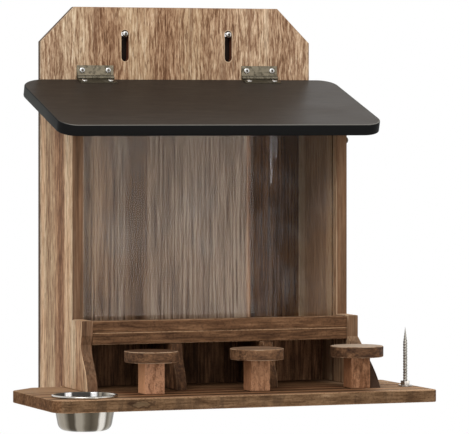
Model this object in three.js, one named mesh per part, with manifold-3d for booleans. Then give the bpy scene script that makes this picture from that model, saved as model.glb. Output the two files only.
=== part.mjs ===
// Squirrel feeder box: a hopper with a hinged lid and a clear window, over three bays and a deck.
// Millimetres. X runs right, Y runs back and Z runs up. Heights are counted from the deck's top face,
// and the whole feeder is then lowered, so that its origin lies between the two hanging slots
// on the rear face of the back board.

import * as THREE from "three";
import { mergeVertices } from "three/addons/utils/BufferGeometryUtils.js";
import Module from "manifold-3d";

const wasm = await Module();
wasm.setup();

// Shared by all pieces
const seat_gap = 0.2;
const overrun = 3;
const edge_chamfer = 0.7;
const edge_steps = 1;
const curve_steps = 8;
const round_steps = 36;
const rod_steps = 10;
const fine_steps = 2;

// Back board and its hanging slots: rises are counted from the lid's top face at the back board,
// and places as shares of the half width
const box_half_width = 148;
const back_thickness = 10;
const back_rise = 74.4;
const back_chamfer = 36;
const slot_place_shares = [-0.385, 0.385];
const slot_rise = 34.7;
const slot_width = 8;
const slot_length = 32.5;
const slot_skin = 2.5;

// Side panels: the front, and the steps, reaches and drops from one corner to the next
const panel_thickness = 11.5;
const panel_front = 114;
const shoulder_step = 29.7;
const shoulder_rise = 0.7;
const left_shoulder_height = 14.5;
const left_neck_setback = 3.6;
const left_neck_drop = 9.2;
const left_foot_reach = 15.8;
const left_curve_shares = { neck: 0.62, toe: 0.978, heel: 0.6 };
const right_shoulder_height = 21.2;
const right_bend_reach = 19.6;
const right_bend_lap = 3.1;
const right_foot_reach = 59.3;
const right_curve_shares = { reach: 0.46, drop: 0.4, neck: 0.5, heel: 0.7 };

// Deck, which reaches past the bowl and the spike by these margins
const deck_thickness = 12.2;
const deck_left_margin = 10.8;
const deck_right_margin = 11.7;
const deck_front_margin = 6.4;
const deck_rear = 77;
const deck_rear_chamfer = 28;
const deck_corner_radii = { left: 16, right: 5 };

// Hopper floor, front rail, bays
const bay_height = 45.7;
const floor_thickness = 11.8;
const floor_setback = 1.7;
const rail_height = 11.5;
const rail_depth = 11.7;
const bay_back_thickness = 10;
const divider_thickness = 10.6;
const divider_place_shares = { left: -0.34, right: 0.316 };
const divider_top_reach = 9;
const divider_foot_reach = 22.5;
const divider_curve_shares = { upper: 0.5, lower: 0.4 };

// Window and its grooves
const window_thickness = 3;
const window_setback = 11.5;
const window_lid_gap = 1;
const groove_clearance = 0.5;
const groove_depth = 4;

// Lid
const lid_side_overhang = 25.4;
const lid_front_overhang = 46;
const lid_thickness = 11.6;
const lid_slope = THREE.MathUtils.degToRad(17.35);
const lid_front_height = 263.7;
const lid_rear_gap = 0.4;
const lid_corner_radii = { rear_right: 18, rear_left: 29, front_left: 18, front_right: 24 };
const lid_edge_round = 1.2;

// Hinges
const hinge_place_shares = { left: -0.608, right: 0.616 };
const hinge_length = 39.5;
const leaf_thickness = 1.2;
const leaf_depth = 12.4;
const knuckle_radius = 2.2;
const knuckle_count = 5;
const knuckle_gap = 0.3;
const pin_radius = 1.25;
const pin_clearance = 0.17;
const pin_end = 0.5;
const hinge_screw_inset = 5.65;
const hinge_screw_margin = 5.1;

// Stools: the right one stands against the right panel's foot
const stool_place_shares = { left: -0.63, middle: 0.12 };
const stool_panel_gap = 1.15;
const stool_bend_gap = 4.3;
const stool_radius = 27.2;
const stool_seat_thickness = 11;
const stool_edge_round = 1.4;
const stool_post_height = 31.2;
const stool_post_side = 20.3;

// Bowl
const bowl_panel_offset = 18.4;
const bowl_foot_gap = 18.4;
const bowl_depth = 32.3;
const bowl_wall = 0.9;
const bowl_mouth_radius = 30.1;
const bowl_base_radius = 26;
const bowl_corner_radius = 9;
const bowl_lip_radius = 1.3;
const bowl_hole_clearance = 0.4;

// Corn spike, a pointed bolt from below, with its washer and nut on the deck
const spike_panel_offset = 32;
const spike_stool_setback = 4.5;
const spike_radius = 2.4;
const spike_height = 60;
const spike_point = 14;
const spike_head_radius = 5.5;
const spike_head_height = 3;
const spike_clearance = 0.3;
const washer_radius = 7;
const washer_thickness = 1.2;
const nut_radius = 5;
const nut_height = 4;

// Screws: head radius, head rise, shank radius and shank length of each kind
const hinge_screw = { head: 3, rise: 1.2, shank: 1.4, length: 7.4 };
const hanging_screw = { head: 3.2, rise: 2.4, shank: 1.9, length: 9 };
const side_screw = { head: 3.3, rise: 2.4, shank: 1.6, length: 8 };
const wood_screw = { head: 3.6, rise: 2, shank: 1.7, length: 24 };
const pilot_clearance = 0.2;
const head_sink = 0.4;
const recess_width = 0.9;
const recess_depth = 0.8;
const recess_length_share = 0.62;
const side_screw_drop = 18.1;
const back_screw_height_shares = [0.06, 0.36, 0.7];

// Materials
const finishes = {
  light_wood: { color: "#b99a7b", roughness: 0.75, metalness: 0 },
  dark_wood: { color: "#634c37", roughness: 0.72, metalness: 0 },
  black_board: { color: "#2b2826", roughness: 0.45, metalness: 0 },
  clear: { color: "#e8eef0", roughness: 0.05, metalness: 0, transparent: true, opacity: 0.3 },
  aged_steel: { color: "#77736a", roughness: 0.45, metalness: 1 },
  bright_steel: { color: "#c9c9c6", roughness: 0.2, metalness: 1 },
};

// Places worked out from the sizes
const deck_bottom = -deck_thickness;
const inner_half_width = box_half_width - panel_thickness;
const panel_middle = box_half_width - panel_thickness / 2;
const back_front = -back_thickness;
const floor_top = bay_height + floor_thickness;
const rail_top = floor_top + rail_height;
const bay_back_front = -deck_rear + seat_gap;
const shoulder_front = panel_front + shoulder_step;
const shoulder_top = rail_top + shoulder_rise;
const left_shoulder_bottom = shoulder_top - left_shoulder_height;
const left_neck_front = shoulder_front - left_neck_setback;
const left_neck_height = left_shoulder_bottom - left_neck_drop;
const left_foot_front = shoulder_front + left_foot_reach;
const right_shoulder_bottom = shoulder_top - right_shoulder_height;
const right_bend_front = shoulder_front + right_bend_reach;
const right_bend_height = stool_post_height + right_bend_lap;
const right_foot_front = shoulder_front + right_foot_reach;
const floor_front = shoulder_front - floor_setback;
const divider_top_front = floor_front + divider_top_reach;
const divider_foot_front = floor_front + divider_foot_reach;
const window_middle = panel_front - window_setback;
const groove_width = window_thickness + 2 * groove_clearance;
const stool_front = right_bend_front + stool_bend_gap + stool_radius;
const bowl_x = -box_half_width - bowl_panel_offset;
const bowl_front = left_foot_front + bowl_foot_gap + bowl_mouth_radius;
const spike_x = box_half_width + spike_panel_offset;
const spike_front = stool_front - spike_stool_setback;
const spike_bottom = deck_bottom + head_sink;
const spike_seat = spike_bottom + spike_head_height;
const deck_left = bowl_mouth_radius - bowl_x + deck_left_margin;
const deck_right = spike_x + deck_right_margin;
const deck_front = bowl_front + bowl_mouth_radius + deck_front_margin;
const lid_half_width = box_half_width + lid_side_overhang;
const lid_front = panel_front + lid_front_overhang;
const slope_rise = Math.tan(lid_slope);
const back_top = lidTopAt(back_front) + back_rise;
const slot_depth = back_thickness - slot_skin;
const slot_half = (slot_length - slot_width) / 2;
const slot_centre_height = lidTopAt(back_front) + slot_rise;
const hanging_screw_height = slot_centre_height + slot_half;
const pin_lift = seat_gap + knuckle_radius;
const pin_y = back_front - seat_gap - knuckle_radius;
const pin_foot_y = pin_y + pin_lift * Math.sin(lid_slope);
const pin_z = lidTopAt(pin_y) + pin_lift / Math.cos(lid_slope);
const sunk_head = wood_screw.rise + head_sink;
const hinge_screw_spacing = hinge_length - 2 * hinge_screw_inset;
const hinge_screw_offset = leaf_depth - hinge_screw_margin;
const slot_places = slot_place_shares.map((share) => share * box_half_width);
const hinge_places = {
  left: hinge_place_shares.left * box_half_width,
  right: hinge_place_shares.right * box_half_width,
};
const divider_places = {
  left: divider_place_shares.left * box_half_width,
  right: divider_place_shares.right * box_half_width,
};
const stool_places = {
  left: stool_place_shares.left * box_half_width,
  middle: stool_place_shares.middle * box_half_width,
  right: inner_half_width - stool_panel_gap - stool_post_side / 2,
};

// Heights of the lid's top face and underside at a place along Y
function lidTopAt(y) {
  return lid_front_height + (y + lid_front) * slope_rise;
}

function lidUndersideAt(y) {
  return lidTopAt(y) - lid_thickness / Math.cos(lid_slope);
}

// Solids and meshes
function toSolid(geometry) {
  const bare = geometry.clone();
  bare.deleteAttribute("normal");
  bare.deleteAttribute("uv");
  const merged = mergeVertices(bare);
  const vertProperties = new Float32Array(merged.attributes.position.array);
  const triVerts = new Uint32Array(merged.index.array);
  return new wasm.Manifold(new wasm.Mesh({ numProp: 3, vertProperties, triVerts }));
}

function toGeometry(solid) {
  const mesh = solid.getMesh();
  const geometry = new THREE.BufferGeometry();
  geometry.setAttribute("position", new THREE.BufferAttribute(mesh.vertProperties, 3));
  geometry.setIndex(new THREE.BufferAttribute(mesh.triVerts, 1));
  const flat = geometry.toNonIndexed();
  flat.computeVertexNormals();
  return flat;
}

function cut(geometry, tools) {
  let solid = toSolid(geometry);
  for (const tool of tools) {
    solid = solid.subtract(toSolid(tool));
  }
  return toGeometry(solid);
}

function join(geometries) {
  let solid = toSolid(geometries[0]);
  for (const other of geometries.slice(1)) {
    solid = solid.add(toSolid(other));
  }
  return toGeometry(solid);
}

function makeMesh(name, geometry, finish) {
  const mesh = new THREE.Mesh(geometry, new THREE.MeshStandardMaterial(finishes[finish]));
  mesh.name = name;
  return mesh;
}

// A board with chamfered arrises, from z = 0 up to its thickness
function makeBoard(shape, thickness, chamfer = edge_chamfer, steps = edge_steps) {
  const geometry = new THREE.ExtrudeGeometry(shape, {
    depth: thickness - 2 * chamfer,
    bevelEnabled: true,
    bevelThickness: chamfer,
    bevelSize: chamfer,
    bevelOffset: -chamfer,
    bevelSegments: steps,
    curveSegments: curve_steps,
  });
  geometry.translate(0, 0, chamfer);
  return geometry;
}

// A plain prism, from z = 0 up
function makePrism(shape, height) {
  return new THREE.ExtrudeGeometry(shape, {
    depth: height,
    bevelEnabled: false,
    curveSegments: curve_steps,
  });
}

// Boards drawn in X and Z stand with their rear face at y = 0
function faceFront(geometry) {
  return geometry.rotateX(Math.PI / 2);
}

// Boards drawn in Y and Z get their thickness along X, from x = 0
function faceSide(geometry) {
  const turn = new THREE.Matrix4();
  turn.makeBasis(new THREE.Vector3(0, 1, 0), new THREE.Vector3(0, 0, 1), new THREE.Vector3(1, 0, 0));
  return geometry.applyMatrix4(turn);
}

function makeOutline(points) {
  const shape = new THREE.Shape();
  shape.moveTo(points[0][0], points[0][1]);
  for (const point of points.slice(1)) {
    shape.lineTo(point[0], point[1]);
  }
  shape.closePath();
  return shape;
}

function makeRectangle(left, bottom, right, top) {
  return makeOutline([[left, bottom], [right, bottom], [right, top], [left, top]]);
}

function makeBox(low, high) {
  const size = high.map((value, axis) => value - low[axis]);
  const middle = high.map((value, axis) => (value + low[axis]) / 2);
  const box = new THREE.BoxGeometry(size[0], size[1], size[2]);
  box.translate(middle[0], middle[1], middle[2]);
  return box;
}

// A rod along X, Y or Z between two places on that axis
function makeRod(axis, radius, low, high, steps = rod_steps) {
  const rod = new THREE.CylinderGeometry(radius, radius, high - low, steps);
  rod.translate(0, (low + high) / 2, 0);
  if (axis === "z") {
    rod.rotateX(Math.PI / 2);
  }
  if (axis === "x") {
    rod.rotateZ(-Math.PI / 2);
  }
  return rod;
}

// A profile in radius and height, turned about Z
function makeTurned(profile, steps) {
  return new THREE.LatheGeometry(profile, steps).rotateX(Math.PI / 2);
}

// Directions that a screw's head can face
const facings = {
  up: new THREE.Euler(0, 0, 0),
  down: new THREE.Euler(Math.PI, 0, 0),
  front: new THREE.Euler(Math.PI / 2, 0, 0),
  back: new THREE.Euler(-Math.PI / 2, 0, 0),
  right: new THREE.Euler(0, Math.PI / 2, 0),
};

// A screw whose head rests at z = 0, with its shank below and a crossed recess in its head
function makeScrew(name, size, facing, place, finish) {
  const profile = new THREE.Path();
  profile.moveTo(0, -size.length);
  profile.lineTo(size.shank, size.shank - size.length);
  profile.lineTo(size.shank, 0);
  profile.lineTo(size.head, 0);
  profile.quadraticCurveTo(size.head, size.rise, 0, size.rise);
  const body = makeTurned(profile.getPoints(fine_steps), rod_steps);
  const arm = size.head * recess_length_share;
  const half = recess_width / 2;
  const low = size.rise - recess_depth;
  const high = size.rise + overrun;
  const recessed = cut(body, [
    makeBox([-arm, -half, low], [arm, half, high]),
    makeBox([-half, -arm, low], [half, arm, high]),
  ]);
  const mesh = makeMesh(name, recessed, finish);
  mesh.rotation.copy(facings[facing]);
  mesh.position.set(place[0], place[1], place[2]);
  return mesh;
}

// The hole for such a screw's shank
function makePilot(size, facing, place) {
  const hole = makeRod("z", size.shank + pilot_clearance, -size.length - pilot_clearance, size.rise);
  hole.applyMatrix4(new THREE.Matrix4().makeRotationFromEuler(facings[facing]));
  return hole.translate(place[0], place[1], place[2]);
}

// The wider hole that sinks such a screw's head below a face
function makeSink(size, facing, place) {
  const sink = makeRod("z", size.head + pilot_clearance, -seat_gap, overrun);
  sink.applyMatrix4(new THREE.Matrix4().makeRotationFromEuler(facings[facing]));
  return sink.translate(place[0], place[1], place[2]);
}

// Places of the screws, by name
function listBackScrews() {
  const places = {};
  for (const [side, name] of [[-1, "left"], [1, "right"]]) {
    back_screw_height_shares.forEach((share, index) => {
      places[`back_screw_${name}_${index + 1}`] = [side * panel_middle, -sunk_head, back_top * share];
    });
  }
  for (const [name, x] of Object.entries(divider_places)) {
    places[`floor_screw_${name}`] = [x, -sunk_head, bay_height + floor_thickness / 2];
  }
  return places;
}

function listDeckScrews() {
  const z = deck_bottom + sunk_head;
  const y = -(deck_rear + floor_front) / 2;
  const places = {
    panel_screw_left: [-panel_middle, y, z],
    panel_screw_right: [panel_middle, y, z],
  };
  for (const [name, x] of Object.entries(divider_places)) {
    places[`divider_screw_${name}`] = [x, y, z];
  }
  for (const [name, x] of Object.entries(stool_places)) {
    places[`stool_screw_${name}`] = [x, -stool_front, z];
  }
  return places;
}

function listHingeScrews(x) {
  const half = hinge_screw_spacing / 2;
  return { a: x - half, b: x + half };
}

const back_screws = listBackScrews();
const deck_screws = listDeckScrews();
const wall_leaf_face = back_front - 2 * seat_gap - leaf_thickness;
const lid_leaf_face = -knuckle_radius + leaf_thickness + seat_gap;
const side_screw_place = [
  box_half_width + seat_gap,
  side_screw.head - panel_front,
  lidUndersideAt(-panel_front) - side_screw_drop,
];

// Back board
function makeBackBoard() {
  const shape = makeOutline([
    [-box_half_width, deck_bottom],
    [box_half_width, deck_bottom],
    [box_half_width, back_top - back_chamfer],
    [box_half_width - back_chamfer, back_top],
    [back_chamfer - box_half_width, back_top],
    [-box_half_width, back_top - back_chamfer],
  ]);
  const board = faceFront(makeBoard(shape, back_thickness));
  const tools = [];
  for (const x of slot_places) {
    tools.push(makeSlot(x));
    const hole = makeRod("y", hanging_screw.shank + pilot_clearance, -back_thickness, overrun);
    tools.push(hole.translate(x, 0, hanging_screw_height));
  }
  for (const x of Object.values(hinge_places)) {
    for (const screw_x of Object.values(listHingeScrews(x))) {
      tools.push(makePilot(hinge_screw, "front", [screw_x, wall_leaf_face, pin_z + hinge_screw_offset]));
    }
  }
  for (const place of Object.values(back_screws)) {
    tools.push(makePilot(wood_screw, "back", place));
    tools.push(makeSink(wood_screw, "back", place));
  }
  return makeMesh("back_board", cut(board, tools), "light_wood");
}

// A slot with round ends, cut from the front face
function makeSlot(x) {
  const shape = new THREE.Shape();
  shape.absarc(x, hanging_screw_height, slot_width / 2, 0, Math.PI);
  shape.absarc(x, slot_centre_height - slot_half, slot_width / 2, Math.PI, 2 * Math.PI);
  shape.closePath();
  const pocket = makePrism(shape, slot_depth + overrun);
  pocket.translate(0, 0, back_thickness - slot_depth);
  return faceFront(pocket);
}

// Side panels, with a step at the shoulder and a curved foot
function drawLeftFoot(shape) {
  const shares = left_curve_shares;
  shape.lineTo(-shoulder_front, left_shoulder_bottom);
  shape.lineTo(-left_neck_front, left_neck_height);
  shape.bezierCurveTo(
    -left_neck_front, left_neck_height * shares.neck,
    -left_foot_front * shares.toe, left_neck_height * shares.heel,
    -left_foot_front, seat_gap,
  );
}

function drawRightFoot(shape) {
  const shares = right_curve_shares;
  const bend_y = -shoulder_front - right_bend_reach * shares.reach;
  const bend_z = right_shoulder_bottom - (right_shoulder_bottom - right_bend_height) * shares.drop;
  const toe_y = -right_bend_front - (right_foot_front - right_bend_front) * shares.heel;
  const toe_z = right_bend_height * (1 - shares.neck);
  shape.lineTo(-shoulder_front, right_shoulder_bottom);
  shape.quadraticCurveTo(bend_y, bend_z, -right_bend_front, right_bend_height);
  shape.quadraticCurveTo(toe_y, toe_z, -right_foot_front, seat_gap);
}

function makePanelShape(drawFoot) {
  const rear = back_front - seat_gap;
  const shape = new THREE.Shape();
  shape.moveTo(rear, deck_bottom);
  shape.lineTo(rear, lidUndersideAt(rear) - seat_gap);
  shape.lineTo(-panel_front, lidUndersideAt(-panel_front) - seat_gap);
  shape.lineTo(-panel_front, shoulder_top);
  shape.lineTo(-shoulder_front, shoulder_top);
  drawFoot(shape);
  shape.lineTo(bay_back_front, seat_gap);
  shape.lineTo(bay_back_front, deck_bottom);
  shape.closePath();
  return shape;
}

function makeSidePanel(name, side, drawFoot) {
  const board = faceSide(makeBoard(makePanelShape(drawFoot), panel_thickness));
  board.translate(side < 0 ? -box_half_width : inner_half_width, 0, 0);
  const groove_x = [side * (inner_half_width - overrun), side * (inner_half_width + groove_depth)];
  const groove = makeBox(
    [Math.min(...groove_x), -window_middle - groove_width / 2, -overrun],
    [Math.max(...groove_x), -window_middle + groove_width / 2, lidTopAt(0)],
  );
  const tools = [groove];
  for (const place of [...Object.values(back_screws), ...Object.values(deck_screws)]) {
    if (Math.abs(place[0] - side * panel_middle) < panel_thickness) {
      const facing = place[2] < 0 ? "down" : "back";
      tools.push(makePilot(wood_screw, facing, place));
    }
  }
  if (side > 0) {
    tools.push(makePilot(side_screw, "right", side_screw_place));
  }
  return makeMesh(name, cut(board, tools), "light_wood");
}

// Deck, with holes for the bowl, the spike and the screws from below
function makeDeck() {
  const shape = new THREE.Shape();
  const { left, right } = deck_corner_radii;
  shape.moveTo(-deck_left, -deck_rear - deck_rear_chamfer);
  shape.lineTo(-deck_left, left - deck_front);
  shape.absarc(left - deck_left, left - deck_front, left, Math.PI, 1.5 * Math.PI);
  shape.lineTo(deck_right - right, -deck_front);
  shape.absarc(deck_right - right, right - deck_front, right, 1.5 * Math.PI, 2 * Math.PI);
  shape.lineTo(deck_right, -deck_rear - deck_rear_chamfer);
  shape.lineTo(deck_right - deck_rear_chamfer, -deck_rear);
  shape.lineTo(deck_rear_chamfer - deck_left, -deck_rear);
  shape.closePath();
  const board = makeBoard(shape, deck_thickness);
  board.translate(0, 0, deck_bottom);
  const below = deck_bottom - overrun;
  const bowl_hole = makeRod("z", bowl_mouth_radius + bowl_hole_clearance, below, overrun, round_steps);
  const spike_hole = makeRod("z", spike_radius + spike_clearance, below, overrun);
  const head_radius = spike_head_radius + spike_clearance;
  const head_hole = makeRod("z", head_radius, below, spike_seat + seat_gap, round_steps);
  const tools = [
    bowl_hole.translate(bowl_x, -bowl_front, 0),
    spike_hole.translate(spike_x, -spike_front, 0),
    head_hole.translate(spike_x, -spike_front, 0),
  ];
  for (const place of Object.values(deck_screws)) {
    tools.push(makePilot(wood_screw, "down", place));
    tools.push(makeSink(wood_screw, "down", place));
  }
  return makeMesh("deck", cut(board, tools), "dark_wood");
}

// Hopper floor, front rail and the boards of the bays
function makeHopperFloor() {
  const half = inner_half_width - seat_gap;
  const board = makeBoard(makeRectangle(-half, -floor_front, half, back_front - seat_gap), floor_thickness);
  board.translate(0, 0, bay_height);
  const tools = Object.values(divider_places).map((x) => (
    makePilot(wood_screw, "back", [x, -sunk_head, bay_height + floor_thickness / 2])
  ));
  return makeMesh("hopper_floor", cut(board, tools), "dark_wood");
}

function makeFrontRail() {
  const half = inner_half_width - seat_gap;
  const bar = makeBoard(makeRectangle(-half, -floor_front, half, rail_depth - floor_front), rail_height);
  const mesh = makeMesh("front_rail", bar, "dark_wood");
  mesh.position.z = rail_top - rail_height + seat_gap;
  return mesh;
}

function makeBayBack() {
  const half = inner_half_width - seat_gap;
  const shape = makeRectangle(-half, deck_bottom, half, bay_height - seat_gap);
  const board = faceFront(makeBoard(shape, bay_back_thickness));
  const mesh = makeMesh("bay_back_board", board, "dark_wood");
  mesh.position.y = bay_back_front + bay_back_thickness;
  return mesh;
}

function makeDivider(name, x) {
  const top = bay_height - seat_gap;
  const shares = divider_curve_shares;
  const shape = new THREE.Shape();
  shape.moveTo(-deck_rear, seat_gap);
  shape.lineTo(-deck_rear, top);
  shape.lineTo(-divider_top_front, top);
  shape.bezierCurveTo(
    -divider_top_front, top * shares.upper,
    -divider_foot_front, top * shares.lower,
    -divider_foot_front, seat_gap,
  );
  shape.closePath();
  const board = faceSide(makeBoard(shape, divider_thickness));
  board.translate(x - divider_thickness / 2, 0, 0);
  const screw = makePilot(wood_screw, "down", deck_screws[`divider_screw_${name}`]);
  return makeMesh(`divider_${name}`, cut(board, [screw]), "dark_wood");
}

// Window, standing on the hopper floor in the panels' grooves
function makeWindow() {
  const half = inner_half_width + groove_depth - seat_gap;
  const bottom = floor_top + seat_gap;
  const top = lidUndersideAt(-window_middle - window_thickness / 2) - window_lid_gap;
  const pane = faceFront(makeBoard(makeRectangle(-half, bottom, half, top), window_thickness, seat_gap));
  const mesh = makeMesh("window", pane, "clear");
  mesh.position.y = window_thickness / 2 - window_middle;
  return mesh;
}

// Lid, drawn in a frame whose origin is the hinge pin and whose Y runs up the slope
function makeLid() {
  const front = -(lid_front + pin_foot_y) / Math.cos(lid_slope);
  const rear = (back_front - lid_rear_gap - pin_foot_y) / Math.cos(lid_slope);
  const half = lid_half_width;
  const { rear_right, rear_left, front_left, front_right } = lid_corner_radii;
  const shape = new THREE.Shape();
  shape.absarc(half - rear_right, rear - rear_right, rear_right, 0, Math.PI / 2);
  shape.absarc(rear_left - half, rear - rear_left, rear_left, Math.PI / 2, Math.PI);
  shape.absarc(front_left - half, front + front_left, front_left, Math.PI, 1.5 * Math.PI);
  shape.absarc(half - front_right, front + front_right, front_right, 1.5 * Math.PI, 2 * Math.PI);
  shape.closePath();
  const board = makeBoard(shape, lid_thickness, lid_edge_round, fine_steps);
  board.translate(0, 0, -pin_lift - lid_thickness);
  const behind = makeBox(
    [-lid_half_width - overrun, back_front - lid_rear_gap - pin_y, -leaf_depth - lid_thickness],
    [lid_half_width + overrun, leaf_depth, leaf_depth],
  );
  const tools = [behind.rotateX(-lid_slope)];
  for (const x of Object.values(hinge_places)) {
    for (const screw_x of Object.values(listHingeScrews(x))) {
      tools.push(makePilot(hinge_screw, "up", [screw_x, -hinge_screw_offset, lid_leaf_face]));
    }
  }
  return makeMesh("lid", cut(board, tools), "black_board");
}

// A hinge leaf about the pin's axis: a plate on the given box, with its own knuckles,
// cut back round the knuckles of the other leaf
function makeLeaf(x, first, plate, screws) {
  const width = hinge_length / knuckle_count;
  const half_gap = knuckle_gap / 2;
  const steps = round_steps / 2;
  const knuckles = [];
  const spaces = [];
  for (let index = 0; index < knuckle_count; index += 1) {
    const low = x - hinge_length / 2 + index * width;
    const high = low + width;
    if (index % 2 === first) {
      knuckles.push(makeRod("x", knuckle_radius, low + half_gap, high - half_gap, steps));
    } else {
      const start = low - half_gap - (index === 0 ? overrun : 0);
      const end = high + half_gap + (index === knuckle_count - 1 ? overrun : 0);
      spaces.push(makeRod("x", knuckle_radius + knuckle_gap, start, end, steps));
    }
  }
  const bore = makeRod("x", pin_radius + pin_clearance, x - hinge_length, x + hinge_length, steps);
  return cut(join([plate, ...knuckles]), [...spaces, bore, ...screws]);
}

function makeHinge(name, x) {
  const low = x - hinge_length / 2;
  const high = x + hinge_length / 2;
  const screw_x = listHingeScrews(x);
  const plate_face = knuckle_radius - leaf_thickness;
  const wall_plate = makeBox([low, plate_face, 0], [high, knuckle_radius, leaf_depth]);
  const lid_plate = makeBox([low, -leaf_depth, -knuckle_radius], [high, 0, -plate_face]);
  const wall_face = wall_leaf_face - pin_y;
  const wall_holes = [];
  const lid_holes = [];
  for (const place of Object.values(screw_x)) {
    wall_holes.push(makePilot(hinge_screw, "front", [place, wall_face, hinge_screw_offset]));
    lid_holes.push(makePilot(hinge_screw, "up", [place, -hinge_screw_offset, lid_leaf_face]));
  }
  const wall_geometry = makeLeaf(x, 0, wall_plate, wall_holes);
  const lid_geometry = makeLeaf(x, 1, lid_plate, lid_holes);
  const pin_geometry = makeRod("x", pin_radius, low - pin_end, high + pin_end, round_steps / 2);
  const wall_leaf = makeMesh(`hinge_${name}_wall_leaf`, wall_geometry, "aged_steel");
  const lid_leaf = makeMesh(`hinge_${name}_lid_leaf`, lid_geometry, "aged_steel");
  const pin = makeMesh(`hinge_${name}_pin`, pin_geometry, "aged_steel");
  fixed.add(wall_leaf, pin);
  lid_group.add(lid_leaf);
  for (const [letter, place] of Object.entries(screw_x)) {
    const wall_name = `hinge_${name}_wall_screw_${letter}`;
    const wall_place = [place, wall_face, hinge_screw_offset];
    const lid_name = `hinge_${name}_lid_screw_${letter}`;
    const lid_place = [place, -hinge_screw_offset, lid_leaf_face];
    fixed.add(makeScrew(wall_name, hinge_screw, "front", wall_place, "bright_steel"));
    lid_group.add(makeScrew(lid_name, hinge_screw, "up", lid_place, "bright_steel"));
  }
}

// Stools: a round seat on a square post
function makeStool(name, x) {
  const seat_bottom = stool_post_height + seat_gap;
  const profile = new THREE.Path();
  const side = stool_radius - stool_edge_round;
  profile.moveTo(0, 0);
  profile.lineTo(side, 0);
  profile.quadraticCurveTo(stool_radius, 0, stool_radius, stool_edge_round);
  profile.lineTo(stool_radius, stool_seat_thickness - stool_edge_round);
  profile.quadraticCurveTo(stool_radius, stool_seat_thickness, side, stool_seat_thickness);
  profile.lineTo(0, stool_seat_thickness);
  const round = makeTurned(profile.getPoints(fine_steps), round_steps);
  const seat = makeMesh(`stool_seat_${name}`, round, "dark_wood");
  seat.position.set(x, -stool_front, seat_bottom);
  const half = stool_post_side / 2;
  const post = makeBoard(makeRectangle(-half, -half, half, half), stool_post_height - seat_gap);
  const screw = makePilot(wood_screw, "down", [0, 0, deck_screws[`stool_screw_${name}`][2] - seat_gap]);
  const post_mesh = makeMesh(`stool_post_${name}`, cut(post, [screw]), "dark_wood");
  post_mesh.position.set(x, -stool_front, seat_gap);
  return [seat, post_mesh];
}

// Bowl, hanging by its rolled lip in the deck's hole
function makeBowl() {
  const lip_z = seat_gap + bowl_lip_radius;
  const lip_x = bowl_mouth_radius + bowl_lip_radius - bowl_wall / 2;
  const wall = bowl_wall;
  const corner = bowl_corner_radius;
  const bottom = -bowl_depth;
  const profile = new THREE.Path();
  profile.moveTo(0, bottom);
  profile.lineTo(bowl_base_radius - corner, bottom);
  profile.quadraticCurveTo(bowl_base_radius, bottom, bowl_base_radius + wall, bottom + corner);
  profile.lineTo(bowl_mouth_radius, -deck_thickness / 2);
  profile.lineTo(bowl_mouth_radius, seat_gap);
  profile.absarc(lip_x, lip_z, bowl_lip_radius, 1.5 * Math.PI, 3 * Math.PI);
  profile.lineTo(bowl_mouth_radius - wall, -deck_thickness / 2);
  profile.lineTo(bowl_base_radius, bottom + corner);
  profile.quadraticCurveTo(
    bowl_base_radius - wall, bottom + wall,
    bowl_base_radius - corner, bottom + wall,
  );
  profile.lineTo(0, bottom + wall);
  const round = makeTurned(profile.getPoints(curve_steps / 2), round_steps);
  const mesh = makeMesh("bowl", round, "bright_steel");
  mesh.position.set(bowl_x, -bowl_front, 0);
  return mesh;
}

// Corn spike: a pointed bolt, with its head sunk in the deck's underside
function makeSpike() {
  const points = [
    [0, spike_bottom],
    [spike_head_radius, spike_bottom],
    [spike_head_radius, spike_seat],
    [spike_radius, spike_seat],
    [spike_radius, spike_height - spike_point],
    [0, spike_height],
  ];
  const profile = points.map(([radius, height]) => new THREE.Vector2(radius, height));
  const spike = makeMesh("corn_spike", makeTurned(profile, rod_steps), "bright_steel");
  spike.position.set(spike_x, -spike_front, 0);
  return spike;
}

function makeWasherAndNut() {
  const hole = new THREE.Path().absarc(0, 0, spike_radius + spike_clearance, 0, 2 * Math.PI);
  const round = new THREE.Shape().absarc(0, 0, washer_radius, 0, 2 * Math.PI);
  round.holes.push(hole);
  const washer = makeMesh("spike_washer", makePrism(round, washer_thickness), "bright_steel");
  washer.position.set(spike_x, -spike_front, seat_gap);
  const corners = [0, 1, 2, 3, 4, 5].map((index) => [
    nut_radius * Math.cos((index * Math.PI) / 3),
    nut_radius * Math.sin((index * Math.PI) / 3),
  ]);
  const hexagon = makeOutline(corners);
  hexagon.holes.push(hole);
  const nut = makeMesh("spike_nut", makePrism(hexagon, nut_height), "bright_steel");
  nut.position.set(spike_x, -spike_front, washer_thickness + 2 * seat_gap);
  return [washer, nut];
}

// The two hanging screws, in the upper ends of the slots, and the small screw on the right panel
function makeHangingScrew(name, x) {
  const place = [x, back_front - head_sink, hanging_screw_height];
  return makeScrew(`hanging_screw_${name}`, hanging_screw, "front", place, "bright_steel");
}

// The feeder, with what turns about the hinge pins in groups of their own
const feeder = new THREE.Group();
feeder.position.z = -slot_centre_height;
const fixed = new THREE.Group();
fixed.position.set(0, pin_y, pin_z);
const lid_group = new THREE.Group();
lid_group.position.copy(fixed.position);
lid_group.rotation.x = lid_slope;
feeder.add(fixed, lid_group);

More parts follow.
